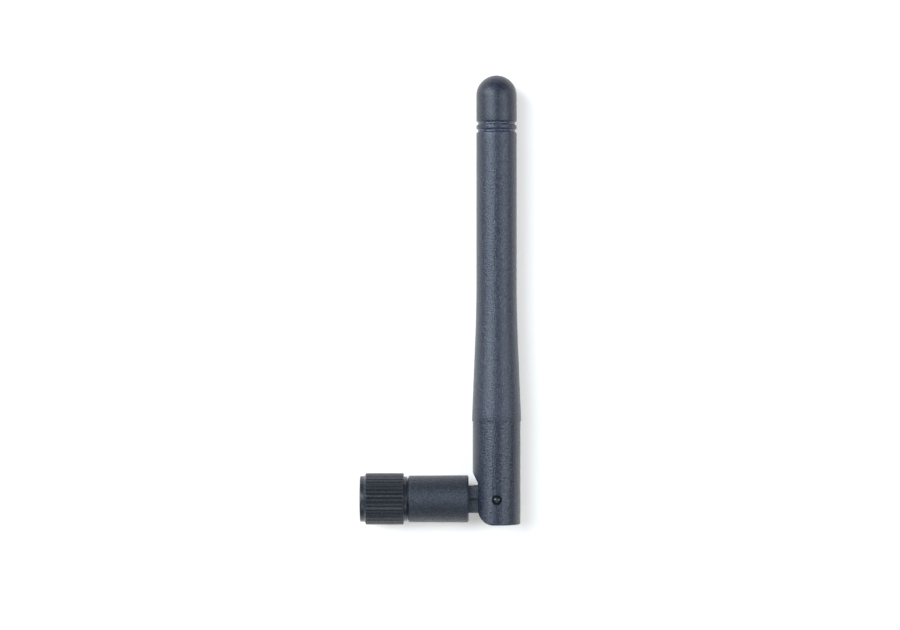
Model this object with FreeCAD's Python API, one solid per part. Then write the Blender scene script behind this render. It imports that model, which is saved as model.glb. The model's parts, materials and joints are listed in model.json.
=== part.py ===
"""Tilting 2.4 GHz dipole antenna with a screw-on coaxial plug.

It lies flat: X runs along the plug and its short barrel, Y along the whip, Z up from the
table. The origin is on the plug's axis, on the face where it meets its socket. The nut's
mouth faces -X and the hinge pin stands along Z. All sizes are in millimetres.
"""
import os
import math
import FreeCAD
import Part

os.makedirs("parts", exist_ok=True)
V = FreeCAD.Vector

# ---- coupling nut and its ribbed grip (axis X, mating face at x = 0)
MOUTH_X = -3.60
GRIP_REAR_X = 5.46
FRONT_COLLAR_R = 4.42
REAR_COLLAR_R = 4.30
GRIP_ROOT_R = 4.69
RIB_TIP_R = 4.95
GRIP_LIP_R = 3.40
SHOULDER_RUN = 0.26
RIB_COUNT = 38
RIB_CROWN = 0.24          # half width of a rib's top, as a share of the spacing
RIB_FOOT = 0.475          # half width at its foot
RIB_FRONT_X = -2.52
RIB_REAR_X = 4.83
NUT_FRONT_X = -3.42
NUT_REAR_X = 5.24
NUT_R = 3.85
NUT_KEY_R = 3.65
THREAD_PITCH = 25.4 / 36
THREAD_MINOR_R = 2.85
THREAD_ROOT_R = 3.19
THREAD_TURNS = 5
THREAD_CREST = THREAD_PITCH / 4
THREAD_END_X = -0.15
KEY_X0 = -2.20
KEY_X1 = -1.00
RELIEF_R = 3.275
NUT_BORE_R = 2.58
RING_SEAT_R = 3.15
RING_SEAT_X0 = 3.75
RING_SEAT_X1 = 4.75
RELIEF_X1 = 3.00
MOUTH_BORE_R = 3.34
NUT_EDGE = 0.12
THREAD_FLANK = 30.0       # degrees, half of the thread's angle
THREAD_RUNOUT = 0.25
MOUTH_ROUND = 0.33
MOUTH_RIM_R = 3.91
RIB_SINK = 0.02
RIB_END_RUN = 0.16
RIB_END_DROP = 0.14

# ---- plug
SLEEVE_R = 2.285
SHOULDER_R = 2.50
FLANGE_R = 3.20
STEM_R = 2.60
PLUG_BORE_R = 2.05
SHOULDER_X = 2.70
FLANGE_X = 5.92
STEM_X = 6.60
STEM_REAR_X = 10.90
RING_GROOVE_X0 = 3.95
RING_GROOVE_X1 = 4.55
RING_GROOVE_R = 2.12
BARB_X = 7.30
BARB_PITCH = 1.10
BARB_COUNT = 3
BARB_DEPTH = 0.15
BARB_SLOPE = 0.10
BARB_WIDTH = 0.50
SLEEVE_EDGE = 0.08
FLANGE_EDGE = 0.10
STEM_EDGE = 0.20
CORE_FRONT_X = 0.05
CORE_REAR_X = 8.60
CONTACT_FRONT_X = 0.08
CONTACT_REAR_X = 9.30
CONTACT_R = 0.635
CONTACT_EDGE = 0.05
SOCKET_R = 0.47
SOCKET_X1 = 3.03
SOCKET_POINT_X = 3.30
SLIT_X1 = 2.30
SLIT_HALF = 0.10
WIRE_SEAT_X = 7.70
SOLDER_FIT = 0.01
RING_R = 2.95
RING_BORE_R = 2.14
RING_X0 = 4.00
RING_X1 = 4.50
RING_MOUTH_HALF = 1.35
GASKET_X = 1.90
GASKET_R = 3.10
GASKET_EDGE = 0.15
FERRULE_X = 9.70
FERRULE_R = 1.30
CRIMP_R = 1.65
CRIMP_REAR_X = 11.35
TAIL_R = 1.00
TAIL_REAR_X = 13.30
TAIL_EDGE = 0.15

# ---- barrel and hinge knuckle
LIP_X = 5.30
LIP_R = 3.32
LIP_BORE_R = 3.05
BOSS_X = 5.54
BOSS_R = 4.05
BARREL_X = 5.76
BARREL_REAR_X = 17.30
BARREL_FRONT_R = 4.48
BARREL_REAR_R = 4.55
BARREL_EDGE = 0.23
STEM_SEAT_X = 11.80
FLANGE_SEAT_X = 5.80
CABLE_BORE_R = 1.80
SHANK_R = 3.15
SHANK_SEAT_R = 3.16
SHANK_X = 12.90
SHANK_EDGE = 0.20
SHANK_BORE_R = 1.00
PIN_X = 22.70
NECK_HALF_Y = 2.60
NECK_HALF_Z = 2.10
NECK_EDGE = 0.18
CHEEK_GAP_HALF = 0.95
CHEEK_GAP_X = 18.20
LEAD_HALF = 0.26
LEAD_DEPTH = 0.50
PIN_R = 0.80
PIN_TOP_Z = 4.54
PIN_CAP = 0.42
PIN_INNER_Z = 1.00
PIN_EDGE = 0.10

# ---- coaxial cable
JACKET_R = 0.685
BRAID_R = 0.55
CORE_R = 0.44
WIRE_R = 0.15
BEND_R = 3.00
JACKET_ENDS = (13.50, 51.00)
BRAID_ENDS = (9.90, 53.00)
CORE_ENDS = (9.50, 54.80)
WIRE_ENDS = (7.90, 55.60)

# ---- whip (heights are measured along Y from the hinge pin)
FOOT_R = 4.61
FOOT_BOTTOM = -4.88
FOOT_TOP = 14.97
FOOT_CUT_X = -3.60
FOOT_CORNER = 2.95
FOOT_EDGE = 0.25
RAMP_Y = 3.10
RAMP_RUN = 1.40
RAMP_RISE = 2.80
SLOT_HALF_Z = 2.18
SLOT_REACH = 2.90
SLOT_EDGE = 0.12
PASSAGE_R = 1.70
PASSAGE_TOP = 3.20
CHANNEL_R = 0.85
CHANNEL_Y = 4.80
PIN_PLAY = 0.05
PIN_SINK_RIM = 0.20
PIN_SINK_DEPTH = 0.24
SPIGOT_R = 3.29
SKIRT_BORE_R = 3.30
SPIGOT_TOP = 24.00
SPIGOT_EDGE = 0.50
SKIRT_R = 4.75
SKIRT_EDGE = 0.10
SKIRT_BORE_TOP = 24.20
SKIRT_SLOPE = 0.0415
TUBE_R = 3.87
TIP_TOP = 81.59
BLEND_LENGTH = 6.00
TUBE_BORE_R = 2.85
TUBE_BORE_BOTTOM = 25.60
GROOVE_HALF = 0.38
GROOVE_DEPTH = 0.30
GROOVE_HEIGHTS = (70.89, 72.31)
DIPOLE_R = 2.30
DIPOLE_BORE_R = 2.05
DIPOLE_BOTTOM = 30.00
FEED_Y = 53.40
RADIATOR_R = 1.60
RADIATOR_Y = 54.80
RADIATOR_TOP = 77.40
RADIATOR_WALL = 0.30
RADIATOR_BASE = 0.90
END_CAP = 0.80
SHRINK_WALL = 0.20
SHRINK_BOTTOM = 50.50
SHRINK_TOP = 57.60
LOWER_BUSH = (31.00, 33.50)
UPPER_BUSH = (69.50, 72.00)
PAD_PLAY = 0.20

HALF_DIAGONAL = math.sqrt(0.5)
OUTSIDE = 8.0             # further out than any surface that a cut must pass


def loop(points, place):
    """Closed wire through (a, b) corners; (a, b, 1) is a point the next arc passes through."""
    ring = list(points) + [points[0]]
    edges = []
    i = 0
    while i < len(ring) - 1:
        start = place(*ring[i][:2])
        if len(ring[i + 1]) == 3:
            middle = place(*ring[i + 1][:2])
            end = place(*ring[i + 2][:2])
            edges.append(Part.Arc(start, middle, end).toShape())
            i += 2
        else:
            edges.append(Part.LineSegment(start, place(*ring[i + 1][:2])).toShape())
            i += 1
    return Part.Wire(edges)


def turned_x(points):
    """Solid turned about the plug's axis from (x, radius) corners."""
    face = Part.Face(loop(points, lambda x, r: V(x, r, 0)))
    return face.revolve(V(0, 0, 0), V(1, 0, 0), 360)


def turned_y(points):
    """Solid turned about the whip's axis from (radius, height) corners."""
    face = Part.Face(loop(points, lambda r, y: V(PIN_X + r, y, 0)))
    return face.revolve(V(PIN_X, 0, 0), V(0, 1, 0), 360)


def tube_x(outer, inner, x0, x1):
    return turned_x([(x0, inner), (x0, outer), (x1, outer), (x1, inner)])


def tube_y(outer, inner, y0, y1):
    return turned_y([(inner, y0), (outer, y0), (outer, y1), (inner, y1)])


def box(x0, x1, y0, y1, z0, z1):
    return Part.makeBox(x1 - x0, y1 - y0, z1 - z0, V(x0, y0, z0))


def slab(points, half_z):
    """Plate standing on both sides of z = 0 from (x, y) corners."""
    face = Part.Face(loop(points, lambda x, y: V(x, y, -half_z)))
    return face.extrude(V(0, 0, 2 * half_z))


def rod_x(radius, x0, x1):
    return Part.makeCylinder(radius, x1 - x0, V(x0, 0, 0), V(1, 0, 0))


def hinge_rod(radius):
    """Cutter along the hinge's axis, longer than the hinge is thick."""
    return Part.makeCylinder(radius, 2 * OUTSIDE, V(PIN_X, 0, -OUTSIDE), V(0, 0, 1))


def save(name, shape):
    shape.exportStep("parts/" + name + ".step")


# ================= nut: the metal thread and the plastic grip moulded on it
def coupling_nut():
    flank = (THREAD_ROOT_R - THREAD_MINOR_R) * math.tan(math.radians(THREAD_FLANK))
    outline = [(NUT_FRONT_X, MOUTH_BORE_R), (NUT_FRONT_X, NUT_R - NUT_EDGE)]
    outline += [(NUT_FRONT_X + NUT_EDGE, NUT_R)]
    outline += [(KEY_X0, NUT_R), (KEY_X0, NUT_KEY_R), (KEY_X1, NUT_KEY_R), (KEY_X1, NUT_R)]
    outline += [(NUT_REAR_X - NUT_EDGE, NUT_R), (NUT_REAR_X, NUT_R - NUT_EDGE), (NUT_REAR_X, NUT_BORE_R)]
    outline += [(RING_SEAT_X1, NUT_BORE_R), (RING_SEAT_X1, RING_SEAT_R), (RING_SEAT_X0, RING_SEAT_R)]
    outline += [(RING_SEAT_X0, NUT_BORE_R), (RELIEF_X1, NUT_BORE_R), (RELIEF_X1, RELIEF_R)]
    outline += [(THREAD_END_X + THREAD_RUNOUT, RELIEF_R)]
    for turn in range(THREAD_TURNS):
        rear = THREAD_END_X - turn * THREAD_PITCH
        if turn:
            outline.append((rear + flank, THREAD_ROOT_R))
        outline += [(rear, THREAD_MINOR_R), (rear - THREAD_CREST, THREAD_MINOR_R)]
        outline.append((rear - THREAD_CREST - flank, THREAD_ROOT_R))
    return turned_x(outline)


def nut_grip():
    pull = MOUTH_ROUND * (1 - HALF_DIAGONAL)
    edge = NUT_EDGE
    outline = [(MOUTH_X, MOUTH_RIM_R), (MOUTH_X, FRONT_COLLAR_R - MOUTH_ROUND)]
    outline += [(MOUTH_X + pull, FRONT_COLLAR_R - pull, 1), (MOUTH_X + MOUTH_ROUND, FRONT_COLLAR_R)]
    outline += [(RIB_FRONT_X - SHOULDER_RUN, FRONT_COLLAR_R), (RIB_FRONT_X, GRIP_ROOT_R)]
    outline += [(RIB_REAR_X, GRIP_ROOT_R), (RIB_REAR_X, REAR_COLLAR_R)]
    outline += [(GRIP_REAR_X - edge, REAR_COLLAR_R), (GRIP_REAR_X, REAR_COLLAR_R - edge)]
    outline += [(GRIP_REAR_X, GRIP_LIP_R), (NUT_REAR_X, GRIP_LIP_R)]
    outline += [(NUT_REAR_X, NUT_R - edge), (NUT_REAR_X - edge, NUT_R)]
    outline += [(KEY_X1, NUT_R), (KEY_X1, NUT_KEY_R), (KEY_X0, NUT_KEY_R), (KEY_X0, NUT_R)]
    outline += [(NUT_FRONT_X, NUT_R)]
    grip = turned_x(outline)
    step = 2 * math.pi / RIB_COUNT
    foot_r = GRIP_ROOT_R - RIB_SINK
    corners = []
    for rib in range(RIB_COUNT):
        for share, radius in ((-RIB_FOOT, foot_r), (-RIB_CROWN, RIB_TIP_R),
                              (RIB_CROWN, RIB_TIP_R), (RIB_FOOT, foot_r)):
            angle = (rib + share) * step
            corners.append(V(RIB_FRONT_X, radius * math.cos(angle), radius * math.sin(angle)))
    star = Part.Face(Part.makePolygon(corners + [corners[0]]))
    ribs = star.extrude(V(RIB_REAR_X - RIB_FRONT_X, 0, 0))
    # the band that slopes the ribs' ends starts a little inside the grip and stands clear of their tops
    clear_r = RIB_TIP_R + RIB_SINK
    end_r = RIB_TIP_R - RIB_END_DROP
    band = turned_x([(RIB_FRONT_X, FRONT_COLLAR_R), (RIB_FRONT_X, end_r),
                     (RIB_FRONT_X + RIB_END_RUN, clear_r), (RIB_REAR_X - RIB_END_RUN, clear_r),
                     (RIB_REAR_X, end_r), (RIB_REAR_X, FRONT_COLLAR_R)])
    return grip.fuse(ribs.common(band)).removeSplitter()


# ================= plug: everything the nut turns on
def connector_body():
    outline = [(0, PLUG_BORE_R + CORE_FRONT_X), (0, SLEEVE_R - SLEEVE_EDGE), (SLEEVE_EDGE, SLEEVE_R)]
    outline += [(SHOULDER_X, SLEEVE_R)]
    outline += [(SHOULDER_X, SHOULDER_R), (RING_GROOVE_X0, SHOULDER_R), (RING_GROOVE_X0, RING_GROOVE_R)]
    outline += [(RING_GROOVE_X1, RING_GROOVE_R), (RING_GROOVE_X1, SHOULDER_R), (FLANGE_X, SHOULDER_R)]
    outline += [(FLANGE_X, FLANGE_R - FLANGE_EDGE), (FLANGE_X + FLANGE_EDGE, FLANGE_R)]
    outline += [(STEM_X, FLANGE_R), (STEM_X, STEM_R)]
    low_r = STEM_R - BARB_DEPTH
    for groove in range(BARB_COUNT):
        start = BARB_X + BARB_PITCH * groove
        end = start + BARB_WIDTH
        outline += [(start, STEM_R), (start + BARB_SLOPE, low_r), (end - BARB_SLOPE, low_r), (end, STEM_R)]
    outline += [(STEM_REAR_X - STEM_EDGE, STEM_R), (STEM_REAR_X, STEM_R - STEM_EDGE)]
    outline += [(STEM_REAR_X, FERRULE_R), (CORE_REAR_X, FERRULE_R), (CORE_REAR_X, PLUG_BORE_R)]
    outline += [(CORE_FRONT_X, PLUG_BORE_R)]
    return turned_x(outline)


def centre_contact():
    front, edge = CONTACT_FRONT_X, CONTACT_EDGE
    seat_r = WIRE_R + SOLDER_FIT
    contact = turned_x([(front, SOCKET_R + edge), (front, CONTACT_R - edge), (front + edge, CONTACT_R),
                        (CONTACT_REAR_X, CONTACT_R), (CONTACT_REAR_X, seat_r),
                        (WIRE_SEAT_X, seat_r), (WIRE_SEAT_X, 0), (SOCKET_POINT_X, 0),
                        (SOCKET_X1, SOCKET_R), (front + edge, SOCKET_R)])
    for half_y, half_z in ((SLIT_HALF, OUTSIDE), (OUTSIDE, SLIT_HALF)):
        contact = contact.cut(box(0, SLIT_X1, -half_y, half_y, -half_z, half_z))
    return contact


def snap_ring():
    ring = tube_x(RING_R, RING_BORE_R, RING_X0, RING_X1)
    return ring.cut(box(0, OUTSIDE, 0, OUTSIDE, -RING_MOUTH_HALF, RING_MOUTH_HALF))


def gasket():
    front, rear, edge = GASKET_X, SHOULDER_X, GASKET_EDGE
    return turned_x([(front, SLEEVE_R + edge), (front, GASKET_R - edge), (front + edge, GASKET_R),
                     (rear - edge, GASKET_R), (rear, GASKET_R - edge), (rear, SLEEVE_R),
                     (front + edge, SLEEVE_R)])


def cable_ferrule():
    bore = BRAID_R + SOLDER_FIT
    return turned_x([(FERRULE_X, bore), (FERRULE_X, FERRULE_R), (STEM_REAR_X, FERRULE_R),
                     (STEM_REAR_X, CRIMP_R), (CRIMP_REAR_X, CRIMP_R), (CRIMP_REAR_X, TAIL_R),
                     (TAIL_REAR_X - TAIL_EDGE, TAIL_R), (TAIL_REAR_X, TAIL_R - TAIL_EDGE),
                     (TAIL_REAR_X, bore)])


def swivel_barrel():
    edge = BARREL_EDGE
    return turned_x([(LIP_X, LIP_BORE_R), (LIP_X, LIP_R), (BOSS_X, LIP_R), (BOSS_X, BOSS_R),
                     (BARREL_X, BOSS_R), (BARREL_X, BARREL_FRONT_R - edge),
                     (BARREL_X + edge, BARREL_FRONT_R), (BARREL_REAR_X - edge, BARREL_REAR_R),
                     (BARREL_REAR_X, BARREL_REAR_R - edge), (BARREL_REAR_X, SHANK_SEAT_R),
                     (SHANK_X, SHANK_SEAT_R), (SHANK_X, CABLE_BORE_R), (STEM_SEAT_X, CABLE_BORE_R),
                     (STEM_SEAT_X, STEM_R), (STEM_X, STEM_R), (STEM_X, FLANGE_R),
                     (FLANGE_SEAT_X, FLANGE_R), (FLANGE_SEAT_X, LIP_BORE_R)])


def hinge_knuckle():
    side = NECK_HALF_Y
    plate = slab([(BARREL_REAR_X, -side), (PIN_X, -side), (PIN_X + side, 0, 1), (PIN_X, side),
                  (BARREL_REAR_X, side)], NECK_HALF_Z)
    rims = []
    for edge in plate.Edges:
        flat = abs(abs(edge.CenterOfMass.z) - NECK_HALF_Z) < 1e-6
        if flat and edge.CenterOfMass.x > BARREL_REAR_X + 0.01:
            rims.append(edge)
    plate = plate.makeChamfer(NECK_EDGE, rims)
    shank = turned_x([(SHANK_X, 0), (SHANK_X, SHANK_R - SHANK_EDGE), (SHANK_X + SHANK_EDGE, SHANK_R),
                      (BARREL_REAR_X, SHANK_R), (BARREL_REAR_X, 0)])
    knuckle = shank.fuse(plate).removeSplitter()
    gap = CHEEK_GAP_HALF
    knuckle = knuckle.cut(box(CHEEK_GAP_X, PIN_X + OUTSIDE, -OUTSIDE, OUTSIDE, -gap, gap))
    knuckle = knuckle.cut(rod_x(SHANK_BORE_R, SHANK_X - 1, CHEEK_GAP_X + 1))
    groove_z = NECK_HALF_Z - LEAD_DEPTH
    for z0, z1 in ((groove_z, OUTSIDE), (-OUTSIDE, -groove_z)):
        knuckle = knuckle.cut(box(BARREL_REAR_X, PIN_X, -LEAD_HALF, LEAD_HALF, z0, z1))
    return knuckle.cut(hinge_rod(PIN_R))


def hinge_pins():
    """Two short round-ended pins that leave the middle of the hinge free for the cable."""
    pins = []
    ball = (PIN_R ** 2 + PIN_CAP ** 2) / (2 * PIN_CAP)
    lean = 0.5 * math.asin(PIN_R / ball)
    for side in (1, -1):
        corners = [(0, PIN_INNER_Z), (PIN_R - PIN_EDGE, PIN_INNER_Z), (PIN_R, PIN_INNER_Z + PIN_EDGE)]
        corners += [(PIN_R, PIN_TOP_Z - PIN_CAP)]
        corners += [(ball * math.sin(lean), PIN_TOP_Z - ball + ball * math.cos(lean), 1)]
        corners += [(0, PIN_TOP_Z)]
        face = Part.Face(loop(corners, lambda r, z: V(PIN_X + r, 0, side * z)))
        pins.append(face.revolve(V(PIN_X, 0, 0), V(0, 0, 1), 360))
    return Part.makeCompound(pins)


# ================= cable: straight from the plug, one bend at the hinge, straight up the whip
def cable_rod(radius, x0, y1):
    level = rod_x(radius, x0, PIN_X - BEND_R)
    ring = Part.Face(Part.Wire(Part.makeCircle(radius, V(PIN_X - BEND_R, 0, 0), V(1, 0, 0))))
    bend = ring.revolve(V(PIN_X - BEND_R, BEND_R, 0), V(0, 0, 1), 90)
    upright = Part.makeCylinder(radius, y1 - BEND_R, V(PIN_X, BEND_R, 0), V(0, 1, 0))
    return level.fuse([bend, upright]).removeSplitter()


def cable_layer(outer, inner, ends):
    x0, y1 = ends
    return cable_rod(outer, x0, y1).cut(cable_rod(inner, x0 - 1, y1 + 1))


# ================= whip
def radome_foot():
    foot = turned_y([(0, FOOT_BOTTOM), (FOOT_R, FOOT_BOTTOM), (FOOT_R, FOOT_TOP), (SPIGOT_R, FOOT_TOP),
                     (SPIGOT_R, SPIGOT_TOP - SPIGOT_EDGE), (SPIGOT_R - SPIGOT_EDGE, SPIGOT_TOP),
                     (0, SPIGOT_TOP)])
    # the side that faces the barrel is cut back, with a ramp above and a big round below
    cut_x = PIN_X + FOOT_CUT_X
    outside = PIN_X - OUTSIDE
    below = -OUTSIDE
    pull = FOOT_CORNER * (1 - HALF_DIAGONAL)
    notch = [(cut_x, RAMP_Y), (cut_x - RAMP_RUN, RAMP_Y + RAMP_RISE), (outside, RAMP_Y + RAMP_RISE)]
    notch += [(outside, below), (cut_x + FOOT_CORNER, below), (cut_x + FOOT_CORNER, FOOT_BOTTOM)]
    notch += [(cut_x + pull, FOOT_BOTTOM + pull, 1), (cut_x, FOOT_BOTTOM + FOOT_CORNER)]
    foot = foot.cut(slab(notch, OUTSIDE))
    # every outer edge below the seam is rounded alike
    rims = []
    for edge in foot.Edges:
        spots = [edge.valueAt(edge.FirstParameter + share * (edge.LastParameter - edge.FirstParameter))
                 for share in (0.1, 0.5, 0.9)]
        on_skin = all(abs(math.hypot(p.x - PIN_X, p.z) - FOOT_R) < 1e-4 for p in spots)
        if on_skin and edge.BoundBox.YMax < FOOT_TOP - 1 and edge.BoundBox.XLength > 1e-3:
            rims.append(edge)
    foot = foot.makeFillet(FOOT_EDGE, rims)
    # the slot the knuckle swings in is open to the side and below
    reach = SLOT_REACH
    slot = [(outside, reach), (outside, below), (PIN_X + reach, below), (PIN_X + reach, 0)]
    slot += [(PIN_X + reach * HALF_DIAGONAL, reach * HALF_DIAGONAL, 1), (PIN_X, reach)]
    foot = foot.cut(slab(slot, SLOT_HALF_Z))
    foot = foot.cut(turned_y([(0, 0), (PASSAGE_R, 0), (PASSAGE_R, PASSAGE_TOP), (CHANNEL_R, CHANNEL_Y),
                              (CHANNEL_R, SPIGOT_TOP + 1), (0, SPIGOT_TOP + 1)]))
    hole_r = PIN_R + PIN_PLAY
    foot = foot.cut(hinge_rod(hole_r))
    for side in (1, -1):
        foot = foot.cut(Part.makeCone(hole_r, hole_r + 2 * PIN_SINK_RIM, 2 * PIN_SINK_DEPTH,
                                      V(PIN_X, 0, side * (FOOT_R - PIN_SINK_DEPTH)), V(0, 0, side)))
    slot_rims = []
    for edge in foot.Edges:
        middle = edge.CenterOfMass
        on_slot = abs(abs(middle.z) - SLOT_HALF_Z) < 1e-6
        if on_slot and (abs(middle.x - cut_x) < 1e-6 or middle.y < FOOT_BOTTOM + FOOT_CORNER / 2):
            slot_rims.append(edge)
    return foot.makeFillet(SLOT_EDGE, slot_rims)


def on_dome(radius, centre_y):
    """Arc point half way round a dome."""
    return (radius * HALF_DIAGONAL, centre_y + radius * HALF_DIAGONAL, 1)


def radome_sleeve():
    drop = SKIRT_R - TUBE_R
    knee = FOOT_TOP + drop / SKIRT_SLOPE
    # the skirt's cone meets the tube through an arc that is tangent to both
    lean = math.atan(SKIRT_SLOPE)
    radius = BLEND_LENGTH / math.tan(lean / 2)
    low = (TUBE_R + BLEND_LENGTH * math.sin(lean), knee - BLEND_LENGTH * math.cos(lean))
    high = (TUBE_R, knee + BLEND_LENGTH)
    middle = (TUBE_R + radius * (1 - math.cos(lean / 2)), high[1] - radius * math.sin(lean / 2), 1)
    dome = TIP_TOP - TUBE_R
    outline = [(SKIRT_BORE_R, FOOT_TOP), (SKIRT_R - SKIRT_EDGE, FOOT_TOP), (SKIRT_R, FOOT_TOP + SKIRT_EDGE)]
    outline += [low, middle, high]
    for height in GROOVE_HEIGHTS:
        outline += [(TUBE_R, height - GROOVE_HALF), (TUBE_R - GROOVE_DEPTH, height, 1)]
        outline += [(TUBE_R, height + GROOVE_HALF)]
    outline += [(TUBE_R, dome), on_dome(TUBE_R, dome), (0, TIP_TOP)]
    outline += [(0, dome + TUBE_BORE_R), on_dome(TUBE_BORE_R, dome), (TUBE_BORE_R, dome)]
    outline += [(TUBE_BORE_R, TUBE_BORE_BOTTOM), (SKIRT_BORE_R, SKIRT_BORE_TOP)]
    return turned_y(outline)


def upper_radiator():
    bore = RADIATOR_R - RADIATOR_WALL
    base = RADIATOR_Y + RADIATOR_BASE
    return turned_y([(WIRE_R + SOLDER_FIT, RADIATOR_Y), (RADIATOR_R, RADIATOR_Y),
                     (RADIATOR_R, RADIATOR_TOP), (bore, RADIATOR_TOP), (bore, base),
                     (WIRE_R + SOLDER_FIT, base)])


def heat_shrink():
    wall = SHRINK_WALL
    neck = RADIATOR_Y + DIPOLE_R - RADIATOR_R
    return turned_y([(DIPOLE_R, SHRINK_BOTTOM), (DIPOLE_R + wall, SHRINK_BOTTOM),
                     (DIPOLE_R + wall, RADIATOR_Y + wall), (RADIATOR_R + wall, neck + wall),
                     (RADIATOR_R + wall, SHRINK_TOP), (RADIATOR_R, SHRINK_TOP),
                     (RADIATOR_R, neck), (DIPOLE_R, RADIATOR_Y)])


def tip_pad():
    size = TUBE_BORE_R - PAD_PLAY
    dome = TIP_TOP - TUBE_R
    return turned_y([(0, RADIATOR_TOP), (size, RADIATOR_TOP), (size, dome), on_dome(size, dome),
                     (0, dome + size)])


save("coupling_nut", coupling_nut())
save("nut_grip", nut_grip())
save("connector_body", connector_body())
save("connector_dielectric", tube_x(PLUG_BORE_R, CONTACT_R, CORE_FRONT_X, CORE_REAR_X))
save("centre_contact", centre_contact())
save("snap_ring", snap_ring())
save("gasket", gasket())
save("cable_ferrule", cable_ferrule())
save("swivel_barrel", swivel_barrel())
save("hinge_knuckle", hinge_knuckle())
save("hinge_pins", hinge_pins())
save("coax_jacket", cable_layer(JACKET_R, BRAID_R, JACKET_ENDS))
save("coax_braid", cable_layer(BRAID_R, CORE_R, BRAID_ENDS))
save("coax_dielectric", cable_layer(CORE_R, WIRE_R, CORE_ENDS))
save("coax_conductor", cable_rod(WIRE_R, *WIRE_ENDS))
save("radome_foot", radome_foot())
save("radome_sleeve", radome_sleeve())
save("dipole_sleeve", tube_y(DIPOLE_R, DIPOLE_BORE_R, DIPOLE_BOTTOM, FEED_Y))
save("sleeve_end_cap", tube_y(DIPOLE_BORE_R, BRAID_R + SOLDER_FIT, FEED_Y - END_CAP, FEED_Y))
save("feed_insulator", tube_y(DIPOLE_R, CORE_R + SOLDER_FIT, FEED_Y, RADIATOR_Y))
save("upper_radiator", upper_radiator())
save("heat_shrink", heat_shrink())
save("lower_bush", tube_y(TUBE_BORE_R, DIPOLE_R, *LOWER_BUSH))
save("upper_bush", tube_y(TUBE_BORE_R, RADIATOR_R, *UPPER_BUSH))
save("tip_pad", tip_pad())
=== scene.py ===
"""Looks for the tilting whip antenna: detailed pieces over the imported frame, studio and camera.

Sizes of the part are in millimetres, which MM turns into metres; the studio is in metres. X runs
along the plug, Y along the whip and Z up, with the origin on the plug's axis, as in the frame.
"""
import json
import math

import bmesh
import bpy
import mathutils
import numpy as np
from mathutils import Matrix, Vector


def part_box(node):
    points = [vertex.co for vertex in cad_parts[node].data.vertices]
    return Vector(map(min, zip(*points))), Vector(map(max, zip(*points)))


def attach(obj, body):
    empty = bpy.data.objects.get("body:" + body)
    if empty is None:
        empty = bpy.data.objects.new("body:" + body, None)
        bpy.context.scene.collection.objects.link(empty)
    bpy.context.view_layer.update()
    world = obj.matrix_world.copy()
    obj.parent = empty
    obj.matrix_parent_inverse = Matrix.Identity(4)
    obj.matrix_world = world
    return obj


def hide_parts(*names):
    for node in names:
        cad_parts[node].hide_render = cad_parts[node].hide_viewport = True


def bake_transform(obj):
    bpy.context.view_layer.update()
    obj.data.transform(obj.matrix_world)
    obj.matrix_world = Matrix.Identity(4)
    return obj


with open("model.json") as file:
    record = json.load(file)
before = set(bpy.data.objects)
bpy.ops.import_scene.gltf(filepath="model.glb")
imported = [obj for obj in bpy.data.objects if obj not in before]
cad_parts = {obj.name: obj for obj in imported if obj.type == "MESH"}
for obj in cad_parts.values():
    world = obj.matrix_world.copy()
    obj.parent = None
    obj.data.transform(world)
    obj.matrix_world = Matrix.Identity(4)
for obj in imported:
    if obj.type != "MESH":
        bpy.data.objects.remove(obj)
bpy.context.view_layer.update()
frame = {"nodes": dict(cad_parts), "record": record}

MM = 0.001
SCENE = bpy.context.scene
SLOT_OF = {part["node"]: part["material_slot"] for part in frame["record"]["subparts"]}


def low(node, axis):
    """A node's lowest coordinate along an axis, in mm."""
    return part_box(node)[0][axis] / MM


def high(node, axis):
    """A node's highest coordinate along an axis, in mm."""
    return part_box(node)[1][axis] / MM


# places that the frame gives
PIN_X = (low("hinge_pins", 0) + high("hinge_pins", 0)) / 2
PIN_R = (high("hinge_pins", 0) - low("hinge_pins", 0)) / 2
PIN_TOP = high("hinge_pins", 2)
FLOOR_Z = low("nut_grip", 2)
MOUTH_X = low("nut_grip", 0)
GRIP_REAR_X = high("nut_grip", 0)
NUT_FRONT_X = low("coupling_nut", 0)
NUT_REAR_X = high("coupling_nut", 0)
NUT_R = high("coupling_nut", 2)
BARREL_REAR_X = high("swivel_barrel", 0)
BARREL_REAR_R = high("swivel_barrel", 2)
SKIRT_Y = low("radome_sleeve", 1)
SKIRT_R = high("radome_sleeve", 2)
TIP_Y = high("radome_sleeve", 1)

# grip of the nut
FRONT_COLLAR_R = 4.42
REAR_COLLAR_R = 4.30
GRIP_LIP_R = 3.40
SHOULDER_RUN = 0.26
RIB_COUNT = 38
RIB_TIP_R = 4.95
RIB_ROOT_R = 4.69
RIB_FRONT_X = -2.52
RIB_REAR_X = 4.83
RIB_END_RUN = 0.16
RIB_END_STEPS = (0.02, 0.05, 0.09, 0.13, 0.17, 0.22, 0.6)
RIB_HALF_POINTS = (0.5, 0.475, 0.455, 0.435, 0.39, 0.34, 0.29, 0.265, 0.245, 0.225, 0.20, 0.11)
RIB_FOOT = 0.465          # half width of a rib's foot, as a share of the spacing
RIB_FLANK = 0.22          # width of its slope
RIB_LAND = 0.20           # half width of its flat top
RIB_LAND_RUN = 0.065      # width of the round beside the top
RIB_LAND_DROP = 0.012

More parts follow.
